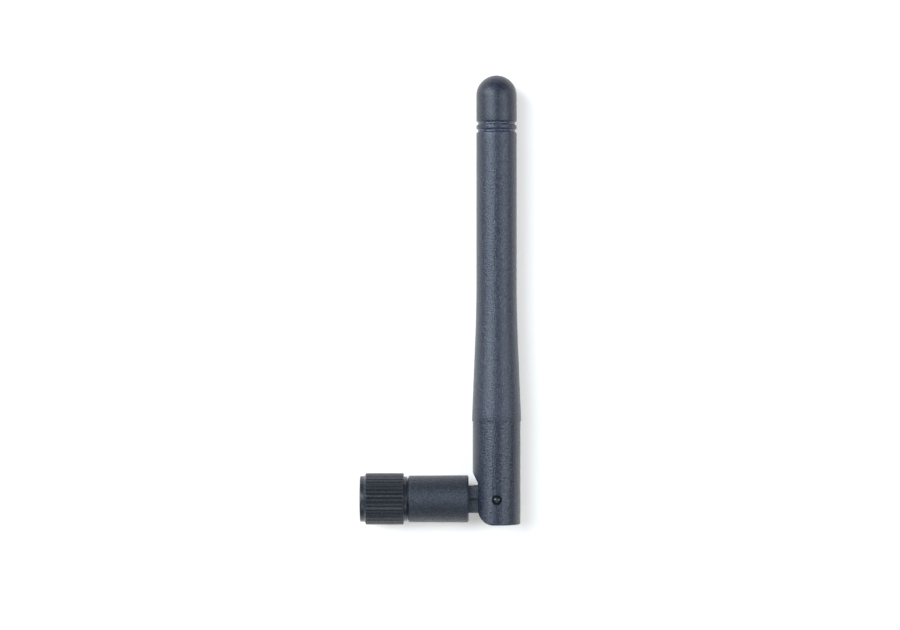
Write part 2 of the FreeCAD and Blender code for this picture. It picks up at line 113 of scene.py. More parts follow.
# metal nut
KEY_R = 3.65
KEY_X = (-2.20, -1.00)
MOUTH_BORE_R = 3.34
MOUTH_CHAMFER_R = 3.36
NUT_BORE_R = 2.58
NUT_EDGE = 0.10
RING_SEAT_R = 3.15
RING_SEAT_X = (3.75, 4.75)
RELIEF_R = 3.275
RELIEF_X = (0.10, 3.00)
THREAD_PITCH = 25.4 / 36
THREAD_CREST_R = 2.85
THREAD_ROOT_R = 3.19
THREAD_END_X = -0.15
THREAD_MARGIN = 0.20      # how far the helix's rows go on behind the thread
THREAD_ROW = 0.035
THREAD_FADE = 0.30        # length over which the thread runs out
THREAD_FLANK = (0.18, 0.62)   # where a flank starts and how far it runs, as shares of half a pitch

# body of the plug, and its gasket
SLEEVE_R = 2.285
SLEEVE_EDGE = 0.08
PLUG_BORE_R = 2.05
BORE_CHAMFER = 0.05
SHOULDER_X = 2.70
SHOULDER_R = 2.50
RING_GROOVE_X = (3.95, 4.55)
RING_GROOVE_R = 2.12
FLANGE_X = 5.92
FLANGE_R = 3.20
STEM_X = 6.60
STEM_R = 2.60
STEM_REAR_X = 10.90
STEM_EDGE = 0.20
BARB_X = 7.30
BARB_PITCH = 1.10
BARB_COUNT = 3
BARB_DEPTH = 0.15
BARB_SLOPE = 0.10
BARB_WIDTH = 0.50
FERRULE_R = 1.30
CORE_REAR_X = 8.60
GASKET_X = 1.90
GASKET_R = 3.10
GASKET_BORE_R = 2.30

# barrel
LIP_X = 5.30
LIP_R = 3.32
LIP_BORE_R = 3.05
BOSS_X = 5.54
BOSS_R = 4.05
BARREL_X = 5.76
BARREL_FRONT_R = 4.48
BARREL_EDGE = 0.24
SHANK_X = 12.90
SHANK_SEAT_R = 3.16
CABLE_BORE_R = 1.80
STEM_SEAT_X = 11.80
FLANGE_SEAT_X = 5.80

# hinge pins and cable
PIN_CAP = 0.42
PIN_INNER_Z = 1.00
PIN_EDGE = 0.10
CABLE_BEND = 3.0
CABLE = {                 # outer and inner radius, start along the plug, end up the whip
    "coax_jacket": (0.685, 0.55, 13.50, 51.00),
    "coax_braid": (0.55, 0.44, 9.90, 53.00),
    "coax_dielectric": (0.44, 0.15, 9.50, 54.80),
    "coax_conductor": (0.15, 0.0, 7.90, 55.60),
}

# whip
TUBE_R = 3.87
TUBE_BORE_R = 2.85
TUBE_BORE_BOTTOM = 25.60
SKIRT_BORE_R = 3.30
SKIRT_BORE_TOP = 24.20
SKIRT_SLOPE = 0.0415
KNEE_HALF = 6.0           # half length of the blend between cone and tube
GROOVE_HALF = 0.38
GROOVE_DEPTH = 0.30
GROOVE_LIP = 0.07
GROOVE_HEIGHTS = (70.89, 72.31)
SEAM_HEIGHT = 0.018
SEAM_HALF = 0.045
SEAM_START = 0.30         # above the skirt's lower edge


# ------------------------------------------------------------------ outlines
def rounded(corners, steps=4):
    """Closed outline through (a, b) or (a, b, radius) corners, with an arc where a radius is given."""
    out = []
    count = len(corners)
    straight = math.pi / 2 - 0.02
    taken = 0.48          # the most of a neighbouring stretch that one round may use up
    for i, corner in enumerate(corners):
        here = np.array(corner[:2], float)
        radius = corner[2] if len(corner) > 2 else 0.0
        before = np.array(corners[i - 1][:2], float) - here
        after = np.array(corners[(i + 1) % count][:2], float) - here
        reach_before, reach_after = np.linalg.norm(before), np.linalg.norm(after)
        before /= reach_before
        after /= reach_after
        half = math.acos(float(np.clip(before @ after, -1, 1))) / 2
        if radius <= 0 or half > straight:
            out.append(here)
            continue
        reach = min(radius / math.tan(half), taken * reach_before, taken * reach_after)
        radius = reach * math.tan(half)
        middle = before + after
        centre = here + middle / np.linalg.norm(middle) * radius / math.sin(half)
        u, v = before * reach + here - centre, after * reach + here - centre
        sweep = math.pi - 2 * half
        for k in range(steps + 1):
            t = k / steps
            swung = math.sin((1 - t) * sweep) * u + math.sin(t * sweep) * v
            out.append(centre + swung / math.sin(sweep))
    return out


def divided(outline, longest):
    """The same closed outline with no stretch longer than `longest`."""
    out = []
    for i, start in enumerate(outline):
        end = outline[(i + 1) % len(outline)]
        parts = max(1, math.ceil(np.linalg.norm(np.subtract(end, start)) / longest))
        out += [np.add(start, np.subtract(end, start) * k / parts) for k in range(parts)]
    return out


def arc(centre, radius, start, end, steps):
    """Points on an arc in an outline's (along, radius) plane; angles in degrees from the along axis."""
    angles = np.radians(np.linspace(start, end, steps + 1))
    return [(centre[0] + radius * math.cos(a), centre[1] + radius * math.sin(a)) for a in angles]


# ------------------------------------------------------------------ meshes
def new_object(name, verts, faces):
    """An object with its own mesh, in metres."""
    mesh = bpy.data.meshes.new(name)
    mesh.from_pydata([tuple(v) for v in verts], [], faces)
    obj = bpy.data.objects.new(name, mesh)
    SCENE.collection.objects.link(obj)
    return obj


def tidy_mesh(obj):
    """Merges points that meet, drops faces with no area, turns all faces outwards, shades smooth."""
    work = bmesh.new()
    work.from_mesh(obj.data)
    bmesh.ops.remove_doubles(work, verts=work.verts, dist=2e-7)
    bmesh.ops.dissolve_degenerate(work, dist=2e-7, edges=work.edges)
    bmesh.ops.recalc_face_normals(work, faces=work.faces)
    for face in work.faces:
        face.smooth = True
    work.to_mesh(obj.data)
    work.free()


def even_shading(obj):
    """Keeps flat stretches flat beside small rounds."""
    even = obj.modifiers.new("even", "WEIGHTED_NORMAL")
    even.weight = 70


def turns(segments, seams=(), spread=0.03):
    """Angles round the axis, with a few close ones at each seam."""
    full = 2 * math.pi
    angles = list(np.linspace(0, full, segments, endpoint=False))
    for seam in seams:
        angles = [a for a in angles if abs((a - seam + math.pi) % full - math.pi) > 1.2 * spread]
        angles += [(seam + k * spread / 3) % full for k in range(-3, 4)]
    return np.array(sorted(angles))


def lathe(name, outline, axis, angles, relief=None, centre=(0, 0, 0)):
    """Closed (along, radius) outline in mm turned about an axis through `centre`.

    relief(along, radius, angles) gives what each point adds to its radius.
    """
    rings = []
    for along, radius in outline:
        r = np.full(len(angles), float(radius))
        if relief is not None and radius > 0:
            r = r + relief(along, radius, angles)
        level = np.full(len(angles), float(along))
        side, up = r * np.sin(angles), r * np.cos(angles)
        order = {"x": (level, side, up), "y": (side, level, up), "z": (side, up, level)}[axis]
        rings.append(np.stack(order, 1) + np.array(centre))
    rows, columns = len(rings), len(angles)
    faces = []
    for i in range(rows):
        a, b = i * columns, ((i + 1) % rows) * columns
        for j in range(columns):
            k = (j + 1) % columns
            faces.append((a + j, a + k, b + k, b + j))
    obj = new_object(name, np.concatenate(rings) * MM, faces)
    tidy_mesh(obj)
    even_shading(obj)
    return obj


def worn_edges(obj, width, angle=32):
    """Rounds the sharp edges of a carried-over solid without touching its mesh."""
    weld = obj.modifiers.new("weld", "WELD")
    weld.merge_threshold = 2e-6
    bevel = obj.modifiers.new("edges", "BEVEL")
    bevel.width = width * MM
    bevel.segments = 3
    bevel.limit_method = "ANGLE"
    bevel.angle_limit = math.radians(angle)
    even_shading(obj)


# ------------------------------------------------------------------ materials
class Shade:
    """A node material, with short calls for what the finishes share."""

    def __init__(self, name):
        self.material = bpy.data.materials.new(name)
        self.material.use_nodes = True
        self.tree = self.material.node_tree
        self.shader = self.tree.nodes["Principled BSDF"]
        self.place = self.tree.nodes.new("ShaderNodeTexCoord").outputs["Object"]

    def link(self, a, b):
        self.tree.links.new(a, b)

    def mapped(self, stretch=(1, 1, 1), shift=0.0, turn=(0, 0, 0)):
        """The piece's own coordinates, stretched, shifted and turned."""
        node = self.tree.nodes.new("ShaderNodeMapping")
        node.inputs["Scale"].default_value = stretch
        node.inputs["Location"].default_value = (shift, shift, shift)
        node.inputs["Rotation"].default_value = turn
        self.link(self.place, node.inputs["Vector"])
        return node.outputs["Vector"]

    def noise(self, size, detail=3.0, rough=0.55, stretch=(1, 1, 1), shift=0.0, swirl=0.0):
        """Cloudy values with features about `size` mm across."""
        node = self.tree.nodes.new("ShaderNodeTexNoise")
        node.inputs["Scale"].default_value = 1 / (size * MM)
        node.inputs["Detail"].default_value = detail
        node.inputs["Roughness"].default_value = rough
        node.inputs["Distortion"].default_value = swirl
        self.link(self.mapped(stretch, shift), node.inputs["Vector"])
        return node.outputs["Fac"]

    def cells(self, size, shift=0.0):
        """Distance from the middles of cells about `size` mm across."""
        node = self.tree.nodes.new("ShaderNodeTexVoronoi")
        node.inputs["Scale"].default_value = 1 / (size * MM)
        self.link(self.mapped(shift=shift), node.inputs["Vector"])
        return node.outputs["Distance"]

    def fit(self, value, low_in, high_in, low_out=0.0, high_out=1.0):
        """Stretches one span of values over another."""
        node = self.tree.nodes.new("ShaderNodeMapRange")
        node.inputs["From Min"].default_value = low_in
        node.inputs["From Max"].default_value = high_in
        node.inputs["To Min"].default_value = low_out
        node.inputs["To Max"].default_value = high_out
        self.link(value, node.inputs["Value"])
        return node.outputs["Result"]

    def join(self, kind, a, b=0.0):
        """A sum, product or other mathematics on two values, each a socket or a number."""
        node = self.tree.nodes.new("ShaderNodeMath")
        node.operation = kind
        for socket, value in zip(node.inputs, (a, b)):
            if isinstance(value, (int, float)):
                socket.default_value = value
            else:
                self.link(value, socket)
        return node.outputs[0]

    def mix(self, share, first, second):
        """The first colour where the share is 0, the second where it is 1."""
        node = self.tree.nodes.new("ShaderNodeMix")
        node.data_type = "RGBA"
        self.link(share, node.inputs["Factor"])
        for socket, value in ((node.inputs[6], first), (node.inputs[7], second)):
            if isinstance(value, tuple):
                socket.default_value = (*value, 1.0)
            else:
                self.link(value, socket)
        return node.outputs[2]

    def times(self, colour, share):
        """A colour with all its channels multiplied by one value."""
        node = self.tree.nodes.new("ShaderNodeVectorMath")
        node.operation = "SCALE"
        self.link(colour, node.inputs[0])
        self.link(share, node.inputs["Scale"])
        return node.outputs[0]

    def beyond(self, middle, half):
        """0 within `half` mm of a height along Y, and 1 further off."""
        split = self.tree.nodes.new("ShaderNodeSeparateXYZ")
        self.link(self.place, split.inputs[0])
        away = self.join("ABSOLUTE", self.join("SUBTRACT", split.outputs["Y"], middle * MM))
        fade = 0.06           # width of the change, in mm
        return self.fit(away, (half - fade) * MM, half * MM)

    def curved(self, none, full):
        """0 where the surface's pointiness is `none` (0.5 is flat), and 1 where it is `full`."""
        node = self.tree.nodes.new("ShaderNodeNewGeometry")
        return self.fit(node.outputs["Pointiness"], none, full)

    def exposed(self):
        """How much an edge stands out, from 0 on flats and hollows to 1 on sharp corners."""
        return self.curved(0.52, 0.60)

    def hollow(self):
        """How deep a spot lies in a tight corner, from 0 on flats to 1."""
        return self.curved(0.49, 0.42)

    def bump(self, height, depth, under=None):
        """Relief `depth` mm deep."""
        node = self.tree.nodes.new("ShaderNodeBump")
        node.inputs["Distance"].default_value = depth * MM
        self.link(height, node.inputs["Height"])
        if under is not None:
            self.link(under, node.inputs["Normal"])
        return node.outputs["Normal"]

    def close(self, colour, roughness, normal, **sockets):
        """Feeds the shader, sets its other sockets to plain values and gives the material."""
        self.link(colour, self.shader.inputs["Base Color"])
        self.link(roughness, self.shader.inputs["Roughness"])
        self.link(normal, self.shader.inputs["Normal"])
        for name, value in sockets.items():
            self.shader.inputs[name.replace("_", " ")].default_value = value
        return self.material


def scaled(colour, share, lift=0.0):
    """A colour multiplied by a share, then raised evenly."""
    return tuple(min(1.0, c * share + lift) for c in colour)


def moulded(name, base, rough, grain, depth, shift=0.0, edge_wear_and_hollow_shade=0.0, wave=0.02, speckle=0.5, finish_and_painted_light_bands=()):
    """Moulded plastic: sparked grain, slow changes of gloss, hair scratches, specks of dust.

    `grain` is the size of the grain and `depth` its relief, `wave` the relief of the slow unevenness,
    all in mm. `speckle` says how much the grain shows in the colour and `edge_wear_and_hollow_shade` how
    worn the edges are; where `edge_wear_and_hollow_shade` is set, tight hollows are also darkened as
    painted shade.
    `finish_and_painted_light_bands` lists stretches along Y where the mould was finished otherwise, as
    (middle, half length) in mm and what the roughness, the colour and the grain are multiplied by there;
    the colour factor paints light or shade into the band.
    """
    m = Shade(name)
    fine = m.fit(m.noise(grain, 1.0, 0.5, shift=shift), 0.3, 0.7)
    tint = m.fit(m.noise(grain * 1.2, 1.0, 0.5, shift=shift + 5.3), 0.35, 0.65)
    pits = m.cells(grain * 2.1, shift)
    slow = m.noise(6.0, 3.0, 0.5, shift=shift)
    cloud = m.noise(1.3, 2.0, 0.5, shift=shift + 1.7)
    scratch = m.fit(m.noise(0.30, 1.0, 0.5, (1.0, 0.06, 1.0), shift, 0.5), 0.70, 0.76)
    dust = m.fit(m.noise(0.42, 0.0, 0.4, shift=shift + 3.7), 0.80, 0.84, 0.0, 0.35)

    colour = m.mix(m.fit(slow, 0.3, 0.7), scaled(base, 0.90), scaled(base, 1.12))
    cool_speck = scaled(base, 1.0 + 1.3 * speckle)
    warm_speck = tuple(np.multiply(scaled(base, 1.0 + 1.6 * speckle), (1.02, 0.92, 1.14)))
    speck = m.mix(tint, cool_speck, warm_speck)
    low_spots = m.join("MULTIPLY", m.join("SUBTRACT", 1.0, fine), speckle)
    colour = m.mix(low_spots, colour, scaled(base, 0.25))
    colour = m.mix(m.join("POWER", fine, 2.0), colour, speck)
    colour = m.mix(dust, colour, scaled(base, 1.0, 0.10))
    if edge_wear_and_hollow_shade:
        colour = m.mix(m.join("MULTIPLY", m.exposed(), edge_wear_and_hollow_shade), colour, scaled(base, 1.5, 0.03))
        # painted shade: tight hollows, such as the roots between the grip's ribs, are painted darker
        colour = m.mix(m.hollow(), colour, scaled(base, 0.3))

    roughness = m.join("ADD", m.fit(slow, 0.25, 0.75, rough - 0.03, rough + 0.03),
                       m.fit(cloud, 0.3, 0.7, -0.025, 0.025))
    roughness = m.join("ADD", roughness, m.join("MULTIPLY", scratch, 0.07))
    broad = m.bump(slow, wave)
    relief = m.join("ADD", m.join("MULTIPLY", fine, 0.7), m.join("MULTIPLY", pits, 0.3))
    for middle, half, gloss, tone, texture in finish_and_painted_light_bands:
        outside = m.beyond(middle, half)
        roughness = m.join("MULTIPLY", roughness, m.fit(outside, 0.0, 1.0, gloss))
        relief = m.join("MULTIPLY", relief, m.fit(outside, 0.0, 1.0, texture))
        # painted light: a band's colour factor above 1 is a painted highlight, one below 1 is painted
        # shade
        colour = m.times(colour, m.fit(outside, 0.0, 1.0, tone))
    return m.close(colour, roughness, m.bump(relief, depth, broad))


def turned_metal(name, base, rough, lines=(12.0, 1.0, 1.0), depth=0.003, stain=0.75):
    """Turned or drawn metal: fine tool lines, faint stains and uneven gloss."""
    m = Shade(name)
    tool = m.noise(0.6, 2.0, 0.6, lines)
    patch = m.noise(1.4, 4.0, 0.6, shift=0.4)
    colour = m.mix(m.fit(patch, 0.45, 0.78, 0.0, 0.8), base, scaled(base, stain))
    roughness = m.join("ADD", m.fit(patch, 0.3, 0.7, rough - 0.06, rough + 0.08),
                       m.fit(tool, 0.3, 0.7, -0.04, 0.04))
    return m.close(colour, roughness, m.bump(tool, depth), Metallic=1.0)


def waxy(name, base, rough=0.5, grain=0.14, depth=0.004, glow=0.15):
    """Pale or rubbery plastic with a faintly wavy skin."""
    m = Shade(name)
    fine = m.noise(grain, 3.0, 0.55)
    slow = m.noise(1.9, 3.0, 0.5)
    colour = m.mix(m.fit(slow, 0.3, 0.7), scaled(base, 0.88), base)
    roughness = m.fit(slow, 0.25, 0.75, rough - 0.07, rough + 0.07)
    return m.close(colour, roughness, m.bump(fine, depth), Subsurface_Weight=glow,
                   Subsurface_Radius=(0.0006, 0.0005, 0.0004))


def woven(name, base, rough=0.3):
    """Braid of fine wires that cross at a slant."""
    m = Shade(name)
    heights = []
    for slant in (0.7, -0.7):
        wave = m.tree.nodes.new("ShaderNodeTexWave")
        wave.inputs["Scale"].default_value = 1 / (1.4 * MM)
        wave.inputs["Distortion"].default_value = 0.4
        m.link(m.mapped(turn=(0, 0, slant)), wave.inputs["Vector"])
        heights.append(wave.outputs["Fac"])
    weave = m.join("MAXIMUM", *heights)
    # painted shade: the low parts of the weave, between the wires, are painted darker
    colour = m.mix(weave, scaled(base, 0.35), base)
    return m.close(colour, m.fit(weave, 0.0, 1.0, rough + 0.25, rough), m.bump(weave, 0.04), Metallic=1.0)


def foam(name, base):
    """Closed-cell foam: small open bubbles."""
    m = Shade(name)
    bubbles = m.cells(0.35)
    # painted shade: the middles of the open bubbles are painted darker
    colour = m.mix(m.fit(bubbles, 0.0, 0.6), scaled(base, 0.4), base)
    return m.close(colour, m.fit(bubbles, 0.0, 1.0, 0.8, 0.95), m.bump(bubbles, 0.10))


def whip_finish_and_painted_light_bands():
    """The whip's grooves came out smooth and glossy, with their colour lifted as a painted highlight, and
    the cap above them is painted a little darker as painted shade.
    """
    cap_bottom = GROOVE_HEIGHTS[1] + GROOVE_HALF
    # painted highlight: the grooves' colour is lifted 1.6 times
    finish_and_painted_light_bands = [(height, GROOVE_HALF, 0.55, 1.6, 0.0) for height in GROOVE_HEIGHTS]
    # painted shade: the cap's colour is lowered to 0.78 times
    finish_and_painted_light_bands.append(((cap_bottom + TIP_Y) / 2, (TIP_Y - cap_bottom) / 2, 1.05, 0.78, 1.0))
    return finish_and_painted_light_bands


MATERIALS = {
    # the whip's bands paint a highlight into the grooves and shade onto the cap
    "radome_plastic": moulded("radome_plastic", (0.026, 0.0305, 0.043), 0.30, 0.22, 0.040, speckle=0.7,
                              finish_and_painted_light_bands=whip_finish_and_painted_light_bands()),
    "foot_plastic": moulded("foot_plastic", (0.020, 0.024, 0.034), 0.24, 0.22, 0.036, shift=0.31,
                            speckle=0.7),
    # barrel and grip: worn edges, and painted shade in their tight hollows
    "barrel_plastic": moulded("barrel_plastic", (0.018, 0.0215, 0.0285), 0.36, 0.24, 0.085, shift=0.73,
                              edge_wear_and_hollow_shade=0.2, speckle=0.65),
    "knuckle_plastic": moulded("knuckle_plastic", (0.042, 0.049, 0.060), 0.40, 0.24, 0.030, shift=0.12,
                               speckle=0.6),
    "grip_plastic": moulded("grip_plastic", (0.0235, 0.0255, 0.0290), 0.27, 0.18, 0.010, shift=0.57,
                            edge_wear_and_hollow_shade=0.5, wave=0.006, speckle=0.3),
    "pin_steel": moulded("pin_steel", (0.016, 0.017, 0.020), 0.20, 0.12, 0.002, shift=0.21,
                         wave=0.002, speckle=0.1),
    "nut_brass": turned_metal("nut_brass", (0.83, 0.64, 0.34), 0.24),
    "contact_gold": turned_metal("contact_gold", (0.90, 0.67, 0.30), 0.20),
    "spring_bronze": turned_metal("spring_bronze", (0.55, 0.36, 0.20), 0.32),
    "gasket_rubber": waxy("gasket_rubber", (0.42, 0.07, 0.035), 0.55),
    "ptfe": waxy("ptfe", (0.85, 0.85, 0.82), 0.45, glow=0.4),
    "jacket_plastic": moulded("jacket_plastic", (0.018, 0.018, 0.020), 0.32, 0.12, 0.003, shift=0.9),
    "braid_wire": woven("braid_wire", (0.75, 0.74, 0.71)),
    "conductor_wire": turned_metal("conductor_wire", (0.80, 0.42, 0.26), 0.24, lines=(1.0, 1.0, 1.0)),
    "radiator_brass": turned_metal("radiator_brass", (0.72, 0.51, 0.22), 0.28, lines=(10.0, 0.6, 10.0)),
    "shrink_plastic": moulded("shrink_plastic", (0.022, 0.022, 0.025), 0.52, 0.18, 0.012, shift=0.44),
    "bush_plastic": waxy("bush_plastic", (0.74, 0.73, 0.68), 0.6, grain=0.2, depth=0.01, glow=0.3),
    "pad_foam": foam("pad_foam", (0.10, 0.10, 0.11)),
}


def dress(obj, slot):
    """Gives an object the material of a slot."""
    obj.data.materials.clear()
    obj.data.materials.append(MATERIALS[slot])


def stand_for(obj, node, body):
    """obj takes a node's place: its body and its finish, and the node is hidden."""
    dress(obj, SLOT_OF[node])
    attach(obj, body)
    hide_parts(node)


for node, solid in frame["nodes"].items():
    dress(solid, SLOT_OF[node])


# ------------------------------------------------------------------ whip
def radome():
    """The tapered cover: skirt, cone, tube with its two grooves, and dome, with a moulding seam."""
    lean = math.atan(SKIRT_SLOPE)
    knee_y = SKIRT_Y + (SKIRT_R - TUBE_R) / SKIRT_SLOPE
    knee_radius = KNEE_HALF / math.tan(lean / 2)
    dome_y = TIP_Y - TUBE_R
    outline = [(SKIRT_Y, SKIRT_BORE_R, 0.1), (SKIRT_Y, SKIRT_R, 0.08)]
    for share in np.linspace(1, 0, 9):
        slope = share * lean
        outline.append((knee_y + KNEE_HALF - knee_radius * math.sin(slope),
                        TUBE_R + knee_radius * (1 - math.cos(slope))))
    groove_r = (GROOVE_HALF ** 2 + GROOVE_DEPTH ** 2) / (2 * GROOVE_DEPTH)
    above = groove_r - GROOVE_DEPTH
    dip = math.degrees(math.asin(above / groove_r))
    for height in GROOVE_HEIGHTS:
        round_part = arc((height, TUBE_R + above), groove_r, 180 + dip, 360 - dip, steps=16)
        outline.append((*round_part[0], GROOVE_LIP))
        outline += round_part[1:-1]
        outline.append((*round_part[-1], GROOVE_LIP))
    outline += arc((dome_y, 0), TUBE_R, 90, 0, steps=26)
    outline += arc((dome_y, 0), TUBE_BORE_R, 0, 90, steps=14)
    outline += [(TUBE_BORE_BOTTOM, TUBE_BORE_R), (SKIRT_BORE_TOP, SKIRT_BORE_R)]
    outline = divided(rounded(outline), longest=1.6)
    outline = [(along, max(radius, 0.0)) for along, radius in outline]
    seams = (math.pi / 2, 3 * math.pi / 2)

    def seam(along, radius, angles):
        """A hair of flash down each side, everywhere but in the narrow bore and by the skirt's edge."""
        if along < SKIRT_Y + SEAM_START or radius < TUBE_BORE_R + 0.2:
            return np.zeros(len(angles))
        away = np.min([np.abs(angles - s) for s in seams], axis=0) * radius
        return SEAM_HEIGHT * np.exp(-(away / SEAM_HALF) ** 2)

    return lathe("radome_sleeve_skin", outline, "y", turns(176, seams), seam, centre=(PIN_X, 0, 0))


stand_for(radome(), "radome_sleeve", "whip")
worn_edges(frame["nodes"]["radome_foot"], width=0.07)


def joined(name, objects):
    """One object from several that share a body and a finish."""
    work = bmesh.new()
    for obj in objects:
        work.from_mesh(obj.data)
    mesh = bpy.data.meshes.new(name)
    work.to_mesh(mesh)
    work.free()
    for obj in objects:
        bpy.data.objects.remove(obj)
    whole = bpy.data.objects.new(name, mesh)
    SCENE.collection.objects.link(whole)
    even_shading(whole)
    return whole


def pins():
    """Both pins: shank, and the domed end that shows in its hole."""
    ball = (PIN_R ** 2 + PIN_CAP ** 2) / (2 * PIN_CAP)
    reach = math.degrees(math.asin(PIN_R / ball))
    meshes = []
    for side in (1, -1):
        outline = [(PIN_INNER_Z, 0.0), (PIN_INNER_Z, PIN_R, PIN_EDGE)]
        outline += arc((PIN_TOP - ball, 0), ball, reach, 0, steps=14)
        outline = divided(rounded(outline), longest=0.5)
        outline = [(side * along, max(radius, 0.0)) for along, radius in outline]
        meshes.append(lathe("hinge_pin", outline, "z", turns(segments=64), centre=(PIN_X, 0, 0)))
    return joined("hinge_pins_polished", meshes)


stand_for(pins(), "hinge_pins", "plug")


# ------------------------------------------------------------------ plug side
def barrel():
    """The swivel barrel, with softly broken edges."""
    outline = [(LIP_X, LIP_BORE_R), (LIP_X, LIP_R, 0.04), (BOSS_X, LIP_R), (BOSS_X, BOSS_R, 0.05)]
    outline += [(BARREL_X, BOSS_R), (BARREL_X, BARREL_FRONT_R, 0.20)]
    outline += [(BARREL_REAR_X - BARREL_EDGE, BARREL_REAR_R, 0.10)]
    outline += [(BARREL_REAR_X, BARREL_REAR_R - BARREL_EDGE, 0.05), (BARREL_REAR_X, SHANK_SEAT_R, 0.04)]
    outline += [(SHANK_X, SHANK_SEAT_R), (SHANK_X, CABLE_BORE_R)]
    outline += [(STEM_SEAT_X, CABLE_BORE_R), (STEM_SEAT_X, STEM_R)]
    outline += [(STEM_X, STEM_R), (STEM_X, FLANGE_R)]
    outline += [(FLANGE_SEAT_X, FLANGE_R), (FLANGE_SEAT_X, LIP_BORE_R)]
    outline = divided(rounded(outline, steps=5), longest=0.7)
    return lathe("swivel_barrel_skin", outline, "x", turns(segments=160))


stand_for(barrel(), "swivel_barrel", "plug")
worn_edges(frame["nodes"]["hinge_knuckle"], width=0.06)


def plug_shell():
    """The turned metal body of the plug: mating sleeve, ring groove, flange and barbed stem."""
    groove_front, groove_rear = RING_GROOVE_X
    outline = [(0.0, PLUG_BORE_R + BORE_CHAMFER, 0.03), (0.0, SLEEVE_R, SLEEVE_EDGE)]
    outline += [(SHOULDER_X, SLEEVE_R, 0.05), (SHOULDER_X, SHOULDER_R, 0.04)]
    outline += [(groove_front, SHOULDER_R, 0.03), (groove_front, RING_GROOVE_R)]
    outline += [(groove_rear, RING_GROOVE_R), (groove_rear, SHOULDER_R, 0.03)]
    outline += [(FLANGE_X, SHOULDER_R, 0.05), (FLANGE_X, FLANGE_R, 0.10)]
    outline += [(STEM_X, FLANGE_R, 0.05), (STEM_X, STEM_R)]
    for barb in range(BARB_COUNT):
        x = BARB_X + BARB_PITCH * barb
        bottom = STEM_R - BARB_DEPTH
        outline += [(x, STEM_R, 0.03), (x + BARB_SLOPE, bottom)]
        outline += [(x + BARB_WIDTH - BARB_SLOPE, bottom), (x + BARB_WIDTH, STEM_R, 0.03)]
    outline += [(STEM_REAR_X, STEM_R, STEM_EDGE), (STEM_REAR_X, FERRULE_R)]
    outline += [(CORE_REAR_X, FERRULE_R), (CORE_REAR_X, PLUG_BORE_R), (BORE_CHAMFER, PLUG_BORE_R)]
    outline = divided(rounded(outline, steps=3), longest=0.8)
    return lathe("connector_body_turned", outline, "x", turns(segments=112))


stand_for(plug_shell(), "connector_body", "plug")


def seal():
    """The soft ring that the socket's rim presses on."""
    outline = [(GASKET_X, GASKET_BORE_R, 0.10), (GASKET_X, GASKET_R, 0.24)]
    outline += [(SHOULDER_X, GASKET_R, 0.20), (SHOULDER_X, SLEEVE_R, 0.05)]
    return lathe("gasket_ring", divided(rounded(outline, steps=5), longest=0.2), "x", turns(segments=96))


stand_for(seal(), "gasket", "plug")


# ------------------------------------------------------------------ nut
def grip():
    """The ribbed grip: front collar, groove, straight ribs with rounded ends, rear collar."""
    outline = [(MOUTH_X, NUT_R + 0.08, 0.05), (MOUTH_X, FRONT_COLLAR_R, 0.30)]
    outline += [(RIB_FRONT_X - SHOULDER_RUN, FRONT_COLLAR_R, 0.04), (RIB_FRONT_X, RIB_ROOT_R)]
    outline += [(RIB_FRONT_X + step, RIB_ROOT_R) for step in RIB_END_STEPS]
    outline += [(RIB_REAR_X - step, RIB_ROOT_R) for step in reversed(RIB_END_STEPS)]
    outline += [(RIB_REAR_X, RIB_ROOT_R), (RIB_REAR_X + 0.02, REAR_COLLAR_R, 0.05)]
    outline += [(GRIP_REAR_X, REAR_COLLAR_R, 0.10), (GRIP_REAR_X, GRIP_LIP_R, 0.03)]
    outline += [(NUT_REAR_X, GRIP_LIP_R), (NUT_REAR_X, NUT_R)]
    outline += [(KEY_X[1], NUT_R), (KEY_X[1], KEY_R), (KEY_X[0], KEY_R), (KEY_X[0], NUT_R)]
    outline += [(NUT_FRONT_X, NUT_R)]
    pitch = 2 * math.pi / RIB_COUNT
    shares = [-share for share in RIB_HALF_POINTS] + [0.0]
    shares += [share for share in reversed(RIB_HALF_POINTS[1:])]
    angles = np.array([(rib + share) * pitch for rib in range(RIB_COUNT) for share in shares])

    def ribs(along, radius, around):
        """Ribs with sloped flanks and rounded tops, which sink to nothing at both ends."""
        if radius < RIB_ROOT_R - 1e-6 or along < RIB_FRONT_X - 1e-6:
            return np.zeros(len(around))
        inside = min(along - RIB_FRONT_X, RIB_REAR_X - along)
        rise = math.sqrt(max(0.0, 1 - (1 - min(1.0, max(0.0, inside) / RIB_END_RUN)) ** 2))
        share = np.abs((around / pitch + 0.5) % 1.0 - 0.5)
        flank = np.clip((RIB_FOOT - share) / RIB_FLANK, 0, 1)
        on_top = share < RIB_LAND + RIB_LAND_RUN + 1e-6
        crown = np.clip((share - RIB_LAND) / RIB_LAND_RUN, 0, 1) ** 2 * on_top
        return ((RIB_TIP_R - RIB_ROOT_R) * flank - RIB_LAND_DROP * crown) * rise

    return lathe("nut_grip_ribbed", divided(rounded(outline), longest=1.2), "x", angles, ribs)


stand_for(grip(), "nut_grip", "nut")


